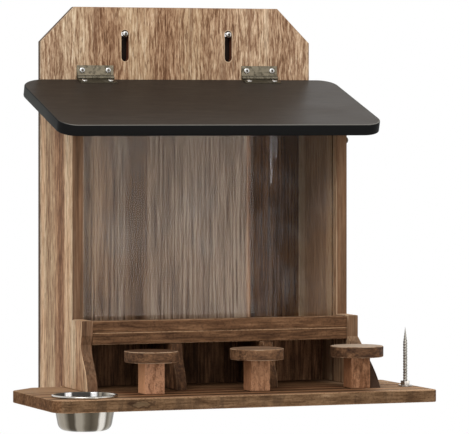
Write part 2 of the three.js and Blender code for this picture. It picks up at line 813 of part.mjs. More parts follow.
lid_group.add(makeLid());
for (const [name, x] of Object.entries(hinge_places)) {
  makeHinge(name, x);
}
feeder.add(makeBackBoard());
feeder.add(makeSidePanel("side_panel_left", -1, drawLeftFoot));
feeder.add(makeSidePanel("side_panel_right", 1, drawRightFoot));
feeder.add(makeDeck(), makeHopperFloor(), makeFrontRail(), makeBayBack(), makeWindow(), makeBowl());
feeder.add(makeSpike(), ...makeWasherAndNut());
for (const [name, x] of Object.entries(divider_places)) {
  feeder.add(makeDivider(name, x));
}
for (const [name, x] of Object.entries(stool_places)) {
  feeder.add(...makeStool(name, x));
}
for (const [name, place] of Object.entries(back_screws)) {
  feeder.add(makeScrew(name, wood_screw, "back", place, "aged_steel"));
}
for (const [name, place] of Object.entries(deck_screws)) {
  feeder.add(makeScrew(name, wood_screw, "down", place, "aged_steel"));
}
feeder.add(makeHangingScrew("left", slot_places[0]), makeHangingScrew("right", slot_places[1]));
feeder.add(makeScrew("side_screw", side_screw, "right", side_screw_place, "aged_steel"));

export default feeder;
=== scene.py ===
import math

import bpy
from mathutils import Euler, Matrix, Vector, noise


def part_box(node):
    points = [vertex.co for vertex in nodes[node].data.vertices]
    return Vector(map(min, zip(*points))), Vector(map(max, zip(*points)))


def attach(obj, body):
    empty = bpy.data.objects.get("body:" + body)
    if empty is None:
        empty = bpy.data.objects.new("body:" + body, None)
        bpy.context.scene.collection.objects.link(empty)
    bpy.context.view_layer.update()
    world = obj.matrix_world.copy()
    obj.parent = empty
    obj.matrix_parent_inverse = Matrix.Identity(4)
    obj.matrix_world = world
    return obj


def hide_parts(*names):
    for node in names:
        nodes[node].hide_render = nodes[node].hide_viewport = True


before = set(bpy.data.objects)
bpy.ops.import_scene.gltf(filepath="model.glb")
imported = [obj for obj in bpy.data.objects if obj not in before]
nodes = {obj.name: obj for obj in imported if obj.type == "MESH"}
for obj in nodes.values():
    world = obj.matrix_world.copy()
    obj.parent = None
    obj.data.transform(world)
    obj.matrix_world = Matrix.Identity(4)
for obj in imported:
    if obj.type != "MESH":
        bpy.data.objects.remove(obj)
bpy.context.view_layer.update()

# Sizes in metres in the part's frame, with X to the right, Y to the rear and Z up
BACK_FRONT = -0.010
SLOT_X = 0.05698
SLOT_HALF = 0.01225
SLOT_RADIUS = 0.004
HOPPER_HALF_WIDTH = 0.1368
WINDOW_REAR = -0.1
PIN = Vector((0, -0.0124, -0.032935))
LID_SLOPE = math.radians(17.35)
LID_HALF_WIDTH = 0.1734
LID_FRONT = -0.155386
LID_REAR = 0.0013455
LID_TOP = -0.0024
LID_THICKNESS = 0.0116
LID_CORNERS = (0.018, 0.029, 0.018, 0.024)
LID_ROUND = 0.0012
LID_REAR_LIMIT = -0.0104
LID_SHADE = -0.047
STOOL_RADIUS = 0.0272
STOOL_ARRIS = 0.0012
BOWL_MOUTH = 0.0301
BOWL_BASE = 0.026
BOWL_CORNER = 0.009
BOWL_WALL = 0.0009
BOWL_LIP = 0.0013
DECK_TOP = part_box("deck")[1].z
DECK_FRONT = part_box("deck")[0].y
RAIL_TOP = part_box("front_rail")[1].z
KNOT_X = -0.121
KNOT_Z = DECK_TOP - 0.0055
KNOT_HALF_WIDTH = 0.0135
KNOT_HALF_HEIGHT = 0.004
BOWL_MIDDLE = (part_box("bowl")[0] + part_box("bowl")[1]) / 2

# Screws: radius and height of the head, radius and length of the shank
SCREWS = {
    "hinge": (0.003, 0.0012, 0.0014, 0.0074),
    "hanging": (0.0032, 0.0024, 0.0019, 0.009),
    "side": (0.0033, 0.0024, 0.0016, 0.008),
    "wood": (0.0036, 0.002, 0.0017, 0.024),
}

# The photo's size, focal length and horizon in pixels, the sensor in millimetres, and the fitted camera
PHOTO_WIDTH = 469
PHOTO_HEIGHT = 434
FOCAL_LENGTH = 3558.2
HORIZON = 110.66
SENSOR = 36
CAMERA_PLACE = (-1.2525, -3.4901, -0.0672)
CAMERA_TURN = math.radians(-20.72)

FLOOR_HEIGHT = -1.0
FLOOR_HALF = 4.0


def tone(red, green, blue):
    """The linear colour of a screen colour written from 0 to 255."""
    linear = []
    for value in (red, green, blue):
        share = value / 255
        linear.append(share / 12.92 if share <= 0.04045 else ((share + 0.055) / 1.055) ** 2.4)
    return (*linear, 1)


class Net:
    """The node tree of one material, with short calls for the nodes that it needs."""

    def __init__(self, name):
        self.material = bpy.data.materials.new(name)
        self.material.use_nodes = True
        self.tree = self.material.node_tree
        self.tree.nodes.clear()
        self.output = self.add("ShaderNodeOutputMaterial")
        self.shader = self.add("ShaderNodeBsdfPrincipled")
        self.tree.links.new(self.shader.outputs[0], self.output.inputs[0])
        self.place = self.add("ShaderNodeTexCoord").outputs["Object"]
        self.normal = self.add("ShaderNodeNewGeometry").outputs["True Normal"]

    def add(self, kind, **settings):
        node = self.tree.nodes.new(kind)
        for key, value in settings.items():
            setattr(node, key, value)
        return node

    def put(self, socket, value):
        if isinstance(value, bpy.types.NodeSocket):
            self.tree.links.new(value, socket)
        else:
            socket.default_value = value

    def set(self, **values):
        names = {
            "colour": "Base Color", "roughness": "Roughness", "metallic": "Metallic",
            "specular": "Specular IOR Level", "ior": "IOR", "transmission": "Transmission Weight",
        }
        for key, value in values.items():
            self.put(self.shader.inputs[names[key]], value)

    def math(self, operation, *values):
        node = self.add("ShaderNodeMath", operation=operation)
        for socket, value in zip(node.inputs, values):
            self.put(socket, value)
        return node.outputs[0]

    def times(self, first, *others):
        """The product of all the values."""
        for value in others:
            first = self.math("MULTIPLY", first, value)
        return first

    def sum(self, pairs):
        """The sum of values, each times its share."""
        total = 0.0
        for value, share in pairs:
            total = self.math("MULTIPLY_ADD", value, share, total)
        return total

    def invert(self, value):
        """One minus the value."""
        return self.math("SUBTRACT", 1.0, value)

    def length(self, first, second):
        """The length of the vector that has these two parts."""
        squares = self.math("ADD", self.times(first, first), self.times(second, second))
        return self.math("SQRT", squares)

    def span(self, value, low, high, start=0.0, end=1.0, shape="SMOOTHSTEP"):
        """The value's place from low to high, turned into start to end."""
        node = self.add("ShaderNodeMapRange", interpolation_type=shape)
        for socket, item in zip(node.inputs, (value, low, high, start, end)):
            self.put(socket, item)
        return node.outputs[0]

    def vector(self, operation, *values):
        node = self.add("ShaderNodeVectorMath", operation=operation)
        for socket, value in zip(node.inputs, values):
            self.put(socket, value)
        return node.outputs["Value" if operation in ("LENGTH", "DOT_PRODUCT") else "Vector"]

    def stretched(self, x, y, z):
        """The place with its axes scaled, for a texture that is finer along some of them."""
        return self.vector("MULTIPLY", self.place, (x, y, z))

    def split(self, vector):
        node = self.add("ShaderNodeSeparateXYZ")
        self.put(node.inputs[0], vector)
        return node.outputs

    def noise(self, vector, scale=1.0, detail=2.0, roughness=0.5, distortion=0.0):
        node = self.add("ShaderNodeTexNoise")
        self.put(node.inputs["Vector"], vector)
        node.inputs["Scale"].default_value = scale
        node.inputs["Detail"].default_value = detail
        node.inputs["Roughness"].default_value = roughness
        node.inputs["Distortion"].default_value = distortion
        return node.outputs["Fac"]

    def ramp(self, value, stops):
        node = self.add("ShaderNodeValToRGB")
        self.put(node.inputs[0], value)
        band = node.color_ramp
        while len(band.elements) < len(stops):
            band.elements.new(0.5)
        for element, (place, colour) in zip(band.elements, stops):
            element.position = place
            element.color = colour if isinstance(colour, tuple) else (colour, colour, colour, 1)
        return node.outputs[0]

    def mix(self, share, first, second, blend="MIX"):
        node = self.add("ShaderNodeMix", data_type="RGBA", blend_type=blend, clamp_factor=True)
        self.put(node.inputs[0], share)
        self.put(node.inputs[6], first)
        self.put(node.inputs[7], second)
        return node.outputs[2]

    def tint(self, colour, factor):
        """The colour times a factor for red, green and blue."""
        return self.mix(1.0, colour, factor, "MULTIPLY")

    def mix_shaders(self, share, second):
        """Mixes the second shader into the material's own by this share."""
        mixed = self.add("ShaderNodeMixShader")
        self.put(mixed.inputs[0], share)
        self.tree.links.new(self.shader.outputs[0], mixed.inputs[1])
        self.tree.links.new(second.outputs[0], mixed.inputs[2])
        self.tree.links.new(mixed.outputs[0], self.output.inputs[0])

    def bump(self, height, strength, distance):
        node = self.add("ShaderNodeBump")
        node.inputs["Strength"].default_value = strength
        node.inputs["Distance"].default_value = distance
        self.put(node.inputs["Height"], height)
        self.put(self.shader.inputs["Normal"], node.outputs[0])

    def worn_edge(self, axis):
        """One on the chamfers round a board that is thin along this axis, and zero on its faces."""
        tilt = self.math("ABSOLUTE", self.split(self.normal)["XYZ".index(axis)])
        return self.times(self.span(tilt, 0.3, 0.45), self.span(tilt, 0.97, 0.9))


def seen_rays(tree):
    """One for what the camera sees, also in metal and glass, and zero for light that falls on the object."""
    ray = tree.nodes.new("ShaderNodeLightPath")
    total = ray.outputs["Is Camera Ray"]
    for name in ("Is Glossy Ray", "Is Transmission Ray"):
        add = tree.nodes.new("ShaderNodeMath")
        add.operation = "ADD"
        add.use_clamp = True
        tree.links.new(total, add.inputs[0])
        tree.links.new(ray.outputs[name], add.inputs[1])
        total = add.outputs[0]
    return total


# Materials
def grain_values(net, along, seed, run=1.0):
    """Noise values of wood whose grain runs along an axis. A longer run gives longer streaks."""
    axis = "XYZ".index(along)

    def stretch(across, length):
        scale = [across] * 3
        scale[axis] = length / run
        return scale

    moved = net.vector("ADD", net.place, seed)
    slow = net.add("ShaderNodeTexNoise")
    net.put(slow.inputs["Vector"], net.vector("MULTIPLY", moved, stretch(30, 16)))
    slow.inputs["Scale"].default_value = 1
    slow.inputs["Detail"].default_value = 2
    drift = net.vector("SUBTRACT", slow.outputs["Color"], (0.5, 0.5, 0.5))
    drift = net.vector("MULTIPLY", drift, [0.006] * 3)
    bent = net.vector("ADD", moved, drift)

    def fibre(source, across, length, **settings):
        return net.noise(net.vector("MULTIPLY", source, stretch(across, length)), **settings)

    bands = fibre(bent, 36, 2.2, detail=2)
    return {
        "bands": bands,
        "rings": net.math("FRACT", net.times(bands, 17.0)),
        "streaks": fibre(bent, 430, 20, detail=2, roughness=0.6),
        "fibres": fibre(bent, 620, 70, detail=3, roughness=0.75),
        "pores": fibre(bent, 560, 95, detail=2),
        "cloud": fibre(moved, 30, 14, detail=3),
        "mottle": fibre(moved, 170, 75, detail=5, roughness=0.72),
    }


def make_light_wood(name, thin, along, seed, strips=None):
    """Pale boards with fine brown streaks. Strips are stops of light and dark from front to rear."""
    net = Net(name)
    grain = grain_values(net, along, seed, run=1.5 if strips else 1.0)
    value = net.sum([
        (grain["bands"], 0.8), (grain["rings"], 0.1), (grain["streaks"], 0.7), (grain["fibres"], 1.6),
        (1.0, -1.08),
    ])
    if strips:
        depth = 0.2
        wander = net.math("MULTIPLY_ADD", grain["bands"], 0.012, -0.006)
        across = net.math("ADD", net.split(net.place)[1], wander)
        stops = [((place + depth) / depth, share) for place, share in strips]
        lift = net.ramp(net.math("MULTIPLY_ADD", across, 1 / depth, 1.0), stops)
        value = net.math("ADD", value, net.math("MULTIPLY_ADD", lift, 0.6, -0.33))
    colour = net.ramp(value, [
        (0.1, tone(88, 60, 42)),
        (0.32, tone(136, 103, 77)),
        (0.5, tone(176, 144, 115)),
        (0.68, tone(203, 174, 143)),
        (0.88, tone(226, 203, 175)),
    ])
    dashes = net.span(grain["pores"], 0.57, 0.66)
    colour = net.mix(net.times(dashes, 0.6), colour, tone(104, 72, 50))
    warmth = net.span(net.sum([(grain["bands"], 1.0), (grain["cloud"], 0.3)]), 0.5, 0.8)
    cool = (1.12, 0.97, 0.86, 1) if strips else (1.02, 0.95, 0.9, 1)
    colour = net.tint(colour, net.mix(warmth, cool, (1.03, 1.01, 0.95, 1)))
    colour = net.mix(net.times(net.worn_edge(thin), 0.5), colour, tone(150, 116, 88))
    net.set(
        colour=colour,
        roughness=net.math("MULTIPLY_ADD", grain["fibres"], 0.25, 0.55),
        specular=0.12,
    )
    net.bump(net.sum([(grain["streaks"], 0.5), (grain["fibres"], 0.6), (dashes, -0.5)]), 0.35, 0.0006)
    return net, colour, grain


def make_dark_wood(name, thin, along, seed, shift=0.0, contrast=1.0, light_edge=0.5, specular=0.1, run=1.0):
    """Brown charred boards with knots, dark streaks and pale worn edges."""
    net = Net(name)
    grain = grain_values(net, along, seed, run)
    value = net.sum([
        (grain["bands"], 0.4 * contrast), (grain["streaks"], 0.45 * contrast),
        (grain["fibres"], 0.5 * contrast), (grain["mottle"], 1.25 * contrast),
        (1.0, shift + 0.5 - 1.3 * contrast),
    ])
    colour = net.ramp(value, [
        (0.15, tone(42, 26, 16)),
        (0.36, tone(74, 50, 33)),
        (0.52, tone(108, 77, 53)),
        (0.7, tone(140, 104, 75)),
        (0.9, tone(178, 139, 106)),
    ])
    dashes = net.span(grain["pores"], 0.57, 0.67)
    colour = net.mix(net.times(dashes, 0.45 * contrast), colour, tone(44, 27, 17))
    grit = net.noise(net.place, scale=560, detail=2, roughness=0.6)
    colour = net.mix(net.times(net.span(grit, 0.52, 0.66), 0.35), colour, tone(40, 25, 16))
    knot = net.add("ShaderNodeTexVoronoi")
    net.put(knot.inputs["Vector"], net.vector("ADD", net.place, [part * 1.7 for part in seed]))
    knot.inputs["Scale"].default_value = 16
    distance = net.math("ADD", knot.outputs["Distance"], net.times(grain["cloud"], 0.15))
    colour = net.mix(net.times(net.span(distance, 0.16, 0.11), 0.5), colour, tone(46, 26, 16))
    rub = net.span(net.sum([(grain["cloud"], 0.8), (grit, 0.8)]), 0.62, 0.9)
    colour = net.mix(net.times(net.worn_edge(thin), rub, light_edge), colour, tone(186, 150, 116))
    net.set(
        colour=colour,
        roughness=net.math("MULTIPLY_ADD", grain["streaks"], 0.3, 0.5),
        specular=specular,
    )
    net.bump(net.sum([(grain["streaks"], 0.5), (grain["fibres"], 0.7), (dashes, -0.6)]), 0.45, 0.0008)
    return net, colour


def make_black_board(name):
    """Satin dark brown paint on a fine-grained board, with a painted sheen that greys it to the right, black edges
    and a painted highlight on the top arris.
    """
    net = Net(name)
    grain = grain_values(net, "X", (3.1, 0.7, 1.9))
    value = net.sum([(grain["streaks"], 0.4), (grain["fibres"], 0.4), (grain["cloud"], 0.2)])
    colour = net.ramp(value, [
        (0.3, tone(50, 43, 37)),
        (0.5, tone(60, 52, 45)),
        (0.75, tone(74, 65, 56)),
    ])
    place = net.split(net.place)
    normal = net.split(net.normal)
    # Painted sheen: the top greys towards the right
    colour = net.mix(net.span(place[0], 0.02, 0.17, 0.0, 0.14), colour, tone(116, 114, 110))
    leftward = net.times(net.span(normal[0], -0.75, -0.98), net.span(place[1], -0.16, -0.08))
    edges = net.mix(leftward, tone(26, 26, 26), tone(56, 57, 54))
    # Painted highlight: a pale grey line on the top's sloping arris
    painted_arris_highlight = net.times(net.span(normal[2], 0.35, 0.6), net.span(normal[0], -0.5, -0.2))
    edges = net.mix(net.times(painted_arris_highlight, 0.8), edges, tone(150, 147, 140))
    net.set(
        colour=net.mix(net.span(normal[2], 0.9, 0.95), edges, colour),
        roughness=net.math("MULTIPLY_ADD", grain["cloud"], 0.2, 0.3),
        specular=0.02,
    )
    net.bump(net.sum([(grain["fibres"], 0.5), (grain["streaks"], 0.5)]), 0.12, 0.0004)
    return net.material


def make_steel(name, colour, stain, roughness, dirt_and_recess_shade=False):
    """Steel with fine scratches and stains, and for a screw a darker middle of its head: dirt with painted shade of
    the recess.
    """
    net = Net(name)
    scratches = net.noise(net.stretched(108, 900, 900), detail=2)
    blotch = net.noise(net.place, scale=240, detail=4, roughness=0.65)
    marks = net.span(blotch, 0.48, 0.68)
    surface = net.mix(net.times(marks, 0.6), tone(*colour), tone(*stain))
    if dirt_and_recess_shade:
        # Dirt and painted shade of the recess: the middle of the head is darker
        reach = net.vector("LENGTH", net.stretched(1, 1, 0))
        surface = net.mix(net.span(reach, 0.0017, 0.001, shape="LINEAR"), surface, tone(66, 62, 56))
    net.set(
        colour=surface,
        metallic=1.0,
        roughness=net.sum([(scratches, 0.25), (marks, 0.2), (1.0, roughness)]),
    )
    net.bump(net.sum([(scratches, 0.6), (blotch, 0.4)]), 0.15, 0.0002)
    return net.material


def make_bowl_steel(name):
    """Spun stainless steel: fine rings round the bowl's axis, painted reflections in upright light and dark bands
    outside, painted glints and painted shade inside, and a painted highlight on the rim.
    """
    net = Net(name)
    arm = net.vector("MULTIPLY", net.vector("SUBTRACT", net.place, tuple(BOWL_MIDDLE)), (1, 1, 0))
    arm = net.vector("NORMALIZE", arm)
    rings = net.noise(net.stretched(12, 12, 4200), detail=2)
    smudge = net.noise(net.place, scale=90, detail=4, roughness=0.6)
    arms = net.split(arm)
    angle = net.math("DIVIDE", net.math("ARCTAN2", arms[1], arms[0]), 2 * math.pi)
    value = net.sum([(angle, 1.0), (smudge, 0.012), (1.0, 0.494)])
    dark, middle, light = tone(80, 73, 62), tone(107, 99, 86), tone(161, 153, 139)
    bright, shade, glint = tone(236, 231, 222), tone(74, 72, 69), (0.95, 0.95, 0.95, 1)
    # Painted reflections: upright light and dark bands round the outside
    painted_outer_reflections = net.ramp(value, [
        (0.0, light), (0.07, light), (0.105, dark), (0.137, dark), (0.152, light), (0.182, light),
        (0.205, middle), (0.235, dark), (0.277, middle), (0.292, bright), (0.318, bright), (0.335, middle),
        (0.37, light), (0.41, dark), (0.6, dark), (0.628, bright), (0.662, bright), (0.674, dark),
        (0.775, dark), (0.79, bright), (0.82, bright), (0.835, dark), (0.93, middle),
    ])
    # Painted glints and painted shade inside the bowl
    painted_inner_glints_and_shade = net.ramp(value, [
        (0.52, bright), (0.57, light), (0.6, shade), (0.608, light), (0.618, light), (0.628, shade),
        (0.638, glint), (0.66, glint), (0.672, shade), (0.768, shade), (0.778, glint), (0.804, glint),
        (0.816, shade), (0.93, middle),
    ])
    # The inside is metal by this share, fully on the painted glints
    shiny = net.ramp(value, [
        (0.52, 0.8), (0.57, 0.5), (0.6, 0.0), (0.608, 0.6), (0.618, 0.6), (0.628, 0.0),
        (0.638, 1.0), (0.66, 1.0), (0.672, 0.0), (0.768, 0.0), (0.778, 1.0), (0.804, 1.0),
        (0.816, 0.0),
    ])
    inward = net.span(net.vector("DOT_PRODUCT", arm, net.normal), -0.3, -0.6)
    # Painted highlight on the rolled rim
    painted_rim_highlight = net.times(net.span(net.split(net.place)[2], DECK_TOP - 0.0002, DECK_TOP + 0.0006), 0.7)
    dull = net.times(inward, net.invert(shiny))
    net.set(
        colour=net.mix(inward, net.mix(painted_rim_highlight, painted_outer_reflections, tone(206, 204, 198)), painted_inner_glints_and_shade),
        metallic=net.invert(dull),
        specular=0.05,
        roughness=net.sum([(rings, 0.12), (smudge, 0.12), (1.0, 0.1)]),
    )
    net.bump(rings, 0.05, 0.0002)
    return net.material


def make_clear(name):
    """Clear acrylic with faint smudges. Light that only casts a shadow passes straight through."""
    net = Net(name)
    smudge = net.noise(net.place, scale=22, detail=4, roughness=0.6)
    streak = net.noise(net.stretched(420, 60, 9), detail=2)
    haze = net.times(net.span(smudge, 0.42, 0.72), net.span(streak, 0.3, 0.7))
    net.set(
        colour=tone(240, 240, 238),
        roughness=net.times(haze, 0.012),
        transmission=net.math("MULTIPLY_ADD", haze, -0.05, 1.0),
        specular=0.5,
        ior=1.15,
    )
    clear = net.add("ShaderNodeBsdfTransparent")
    clear.inputs[0].default_value = (0.93, 0.93, 0.93, 1)
    net.mix_shaders(net.add("ShaderNodeLightPath").outputs["Is Shadow Ray"], clear)
    return net.material


def paint(material, *names):
    """Gives CAD nodes this material."""
    for name in names:
        data = nodes[name].data
        data.materials.clear()
        data.materials.append(material)


# Wood of the boards
def slot_distance(net):
    """The distance along the back board from the edge of the nearer hanging slot."""
    place = net.split(net.place)
    across = net.math("SUBTRACT", net.math("ABSOLUTE", place[0]), SLOT_X)
    past = net.math("MAXIMUM", net.math("SUBTRACT", net.math("ABSOLUTE", place[2]), SLOT_HALF), 0.0)
    return net.math("SUBTRACT", net.length(across, past), SLOT_RADIUS)


def paint_back_board():
    """Pale wood with painted shade behind the window and in the slots, and dark rear edges."""
    net, colour, grain = make_light_wood("wood_back", "Y", "Z", (0.31, 0.2, 0.13))
    place = net.split(net.place)
    normal = net.split(net.normal)

    # Broad light and dark figure
    figure = net.noise(net.stretched(105, 1, 6), detail=3, roughness=0.6, distortion=0.3)
    colour = net.mix(net.span(figure, 0.42, 0.3, 0.0, 0.4), colour, tone(206, 176, 144))
    colour = net.mix(net.span(figure, 0.54, 0.68, 0.0, 0.5), colour, tone(112, 76, 54))

    # The slots' inner faces, which get painted shade, and a pale rim round them on the front
    distance = slot_distance(net)
    behind = net.span(place[1], BACK_FRONT + 0.0001, BACK_FRONT + 0.0006)
    painted_slot_shade = net.times(behind, net.span(place[1], -0.001, -0.0015), net.span(distance, 0.0008, 0.0002))
    rim = net.times(net.span(distance, 0.0013, 0.0003), net.invert(behind))
    colour = net.mix(net.times(rim, 0.55), colour, tone(214, 184, 150))

    # Both sides are paler than the middle
    sides = net.math("ADD", net.span(place[0], -0.07, -0.13), net.span(place[0], 0.015, 0.085))
    lighter = net.mix(net.span(place[0], -0.02, 0.02), (1.15, 1.26, 1.36, 1), (1.28, 1.42, 1.54, 1))
    colour = net.mix(sides, colour, net.tint(colour, lighter))

    # Painted shade on the wood inside the hopper below the lid's shadow line: darker grained wood, painted shadow in
    # strips at both sides, and a dark band left of the middle
    light = net.add("ShaderNodeRGBToBW")
    net.put(light.inputs[0], colour)
    long_grain = net.noise(net.stretched(430, 1, 9), detail=3, roughness=0.65)
    hopper_shade_wood = net.ramp(net.sum([(light.outputs[0], 0.35), (long_grain, 0.9), (1.0, -0.26)]), [
        (0.07, tone(62, 49, 40)), (0.18, tone(94, 75, 62)), (0.28, tone(126, 104, 88)), (0.42, tone(170, 150, 132)),
    ])
    dusk = net.math("MULTIPLY_ADD", grain["bands"], 0.02, net.math("SUBTRACT", place[0], 0.01))
    dusk = net.span(net.math("ABSOLUTE", net.math("ADD", dusk, 0.044)), 0.018, 0.005)
    shade = net.invert(net.span(place[0], 0.0785, 0.0825, 0.0, 0.83))
    shade = net.math("SUBTRACT", shade, net.span(place[0], -0.09, -0.1, 0.0, 0.55))
    shade = net.math("SUBTRACT", shade, net.times(dusk, 0.68))
    warm = net.mix(net.span(place[0], 0.075, 0.083), (1, 1, 1, 1), (1.85, 1.2, 0.7, 1))
    warm = net.mix(dusk, warm, (1.35, 1.05, 0.8, 1))
    warm = net.mix(net.span(place[0], -0.06, -0.08), warm, (1.15, 1.02, 0.86, 1))
    in_hopper = net.times(
        net.span(net.math("ABSOLUTE", place[0]), HOPPER_HALF_WIDTH, HOPPER_HALF_WIDTH - 0.0013),
        net.span(place[2], LID_SHADE + 0.003, LID_SHADE - 0.003),
        net.span(place[1], BACK_FRONT + 0.002, BACK_FRONT),
    )
    colour = net.mix(in_hopper, colour, net.vector("MULTIPLY", net.tint(hopper_shade_wood, warm), shade))

    # Painted shade in the slots, lighter on the walls that face left, and dark edges towards the wall
    wall = net.mix(net.span(normal[0], -0.3, -0.8), tone(34, 23, 17), tone(112, 66, 45))
    colour = net.mix(painted_slot_shade, colour, wall)
    sideways = net.span(net.math("ABSOLUTE", normal[1]), 0.8, 0.6)
    rear = net.times(sideways, net.span(place[1], -0.0075, -0.0055), net.invert(painted_slot_shade))
    net.set(colour=net.mix(net.times(rear, 0.92), colour, tone(58, 42, 31)))
    paint(net.material, "back_board")


def paint_side_panels():
    """Pale wood in upright strips, with brown front edges, pale arrises, painted shade on the inner face with
    painted light in streaks below the rail, and painted shade on the right toe.
    """
    strips = (
        (-0.13, 0.6), (-0.112, 0.85), (-0.09, 0.85), (-0.083, 0.25), (-0.06, 0.5), (-0.045, 0.4), (-0.028, 0.3),
        (-0.022, 0.95),
    )
    for side, inner_side, seed in (("left", 1.0, (0.9, 0.25, 0.4)), ("right", -1.0, (0.2, 0.83, 0.7))):
        name = "side_panel_" + side
        net, colour, _ = make_light_wood("wood_" + name, "X", "Z", seed, strips)
        place = net.split(net.place)
        normal = net.split(net.normal)
        facing = net.times(normal[0], inner_side)
        inward = net.span(facing, 0.5, 0.8)
        ahead = net.span(place[1], WINDOW_REAR, WINDOW_REAR - 0.0035)
        grain = net.noise(net.stretched(330, 330, 11), detail=3, roughness=0.6)

        # Inner face: painted shade behind the window and in front of it, and painted light in paler streaks below
        # the rail
        painted_inner_shade = net.mix(ahead, tone(146, 118, 92), tone(112, 80, 56))
        colour = net.mix(net.times(inward, net.span(ahead, 0.0, 1.0, 0.6, 0.45)), colour, painted_inner_shade)
        # Painted light: paler streaks on the inner face below the rail
        low = net.times(ahead, net.span(place[2], RAIL_TOP - 0.02, RAIL_TOP - 0.026))
        streaks = net.ramp(grain, [(0.36, tone(66, 42, 28)), (0.5, tone(150, 113, 82)), (0.62, tone(206, 172, 138))])
        colour = net.mix(net.times(low, inward, 0.8), colour, streaks)

        # Front edge
        stain = net.ramp(grain, [(0.3, tone(66, 44, 31)), (0.5, tone(99, 71, 51)), (0.7, tone(130, 97, 73))])
        if side == "right":
            stain = net.tint(net.mix(0.45, stain, tone(104, 77, 56)), (1.16, 1.17, 1.14, 1))
        colour = net.mix(net.times(net.span(normal[1], -0.35, -0.6), 0.92), colour, stain)

        # Pale arrises, and painted shade on the right toe
        inner_arris = net.times(
            net.span(facing, 0.3, 0.5), net.span(facing, 0.95, 0.85),
            net.span(place[2], RAIL_TOP - 0.008, RAIL_TOP + 0.002), ahead, net.span(grain, 0.42, 0.55),
        )
        colour = net.mix(net.times(inner_arris, 0.75), colour, tone(214, 184, 152))
        outer_arris = net.times(
            net.span(facing, -0.2, -0.5), net.span(facing, -0.96, -0.85),
            net.span(place[2], DECK_TOP + 0.045, DECK_TOP + 0.03),
        )
        colour = net.mix(net.times(outer_arris, 0.8), colour, tone(226, 190, 152))
        if side == "right":
            painted_toe_shade = net.times(net.span(place[1], -0.15, -0.166), 0.8)
            colour = net.mix(painted_toe_shade, colour, tone(50, 35, 27))
        net.set(colour=colour)
        paint(net.material, name)


def paint_dark_boards():
    """Brown wood of the small boards, with painted light on the left faces of the posts and dividers."""
    # Name, thin axis, grain's axis, seed, shift, contrast, light edge, run
    boards = (
        ("hopper_floor", "Z", "X", (0.1, 0.5, 0.3), -0.03, 0.75, 0.9, 2.4),
        ("front_rail", "Z", "X", (0.6, 0.1, 0.9), 0.04, 0.7, 0.5, 2.4),
        ("bay_back_board", "Y", "Z", (0.4, 0.8, 0.2), -0.06, 0.95, 0.3, 3.5),
        ("divider_left", "X", "Z", (0.7, 0.3, 0.5), -0.15, 0.8, 0.15, 1.0),
        ("divider_right", "X", "Z", (0.2, 0.9, 0.8), -0.12, 0.8, 0.5, 1.0),
        ("stool_post_left", "Z", "Z", (0.5, 0.4, 0.1), 0.42, 1.15, 0.5, 1.0),
        ("stool_post_middle", "Z", "Z", (0.8, 0.6, 0.7), 0.37, 0.95, 0.5, 1.0),
        ("stool_post_right", "Z", "Z", (0.3, 0.7, 0.6), 0.19, 0.95, 0.5, 1.0),
    )
    for name, thin, along, seed, shift, contrast, edge, run in boards:
        net, colour = make_dark_wood("wood_" + name, thin, along, seed, shift, contrast, edge, run=run)
        place = net.split(net.place)
        normal = net.split(net.normal)
        if name == "bay_back_board":
            paler = net.tint(colour, (2.5, 2.6, 2.8, 1))
            net.set(colour=net.mix(net.span(place[0], 0.02, 0.07), colour, paler))
        elif name == "stool_post_left":
            # Painted light: the left face is paler
            leftward = net.times(net.span(normal[0], -0.6, -0.9), 0.6)
            net.set(colour=net.tint(net.mix(leftward, colour, tone(226, 174, 126)), (1.26, 1.14, 1.18, 1)))
        elif name.startswith("stool_post"):
            # Painted light: the left face is paler
            leftward = net.times(net.span(normal[0], -0.6, -0.9), 0.35)
            net.set(colour=net.tint(net.mix(leftward, colour, tone(214, 156, 112)), (1.05, 0.95, 0.93, 1)))
        elif name.startswith("divider"):
            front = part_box(name)[0].y
            lit = net.times(net.span(normal[0], -0.8, -0.95), net.span(place[1], front + 0.05, front + 0.01))
            net.set(colour=net.mix(lit, colour, net.tint(colour, (2.3, 2.35, 2.45, 1))))
        paint(net.material, name)


def make_seat_wood(side, seed, shift, painted_sheen):
    """Dark wood with a painted sheen on the top and worn rims."""
    net, colour = make_dark_wood(
        "wood_seat_" + side, "Z", "X", seed, shift, 0.75, light_edge=0.6, specular=0.15, run=1.7)
    # Painted sheen: the top is paler by this share
    upward = net.span(net.split(net.normal)[2], 0.9, 0.98)
    colour = net.mix(net.times(upward, painted_sheen), colour, tone(198, 174, 150))
    patches = net.noise(net.place, scale=70, detail=2)
    rim = net.times(net.worn_edge("Z"), net.span(patches, 0.4, 0.55), 0.6)
    net.set(colour=net.mix(rim, colour, tone(196, 168, 140)))
    return net.material


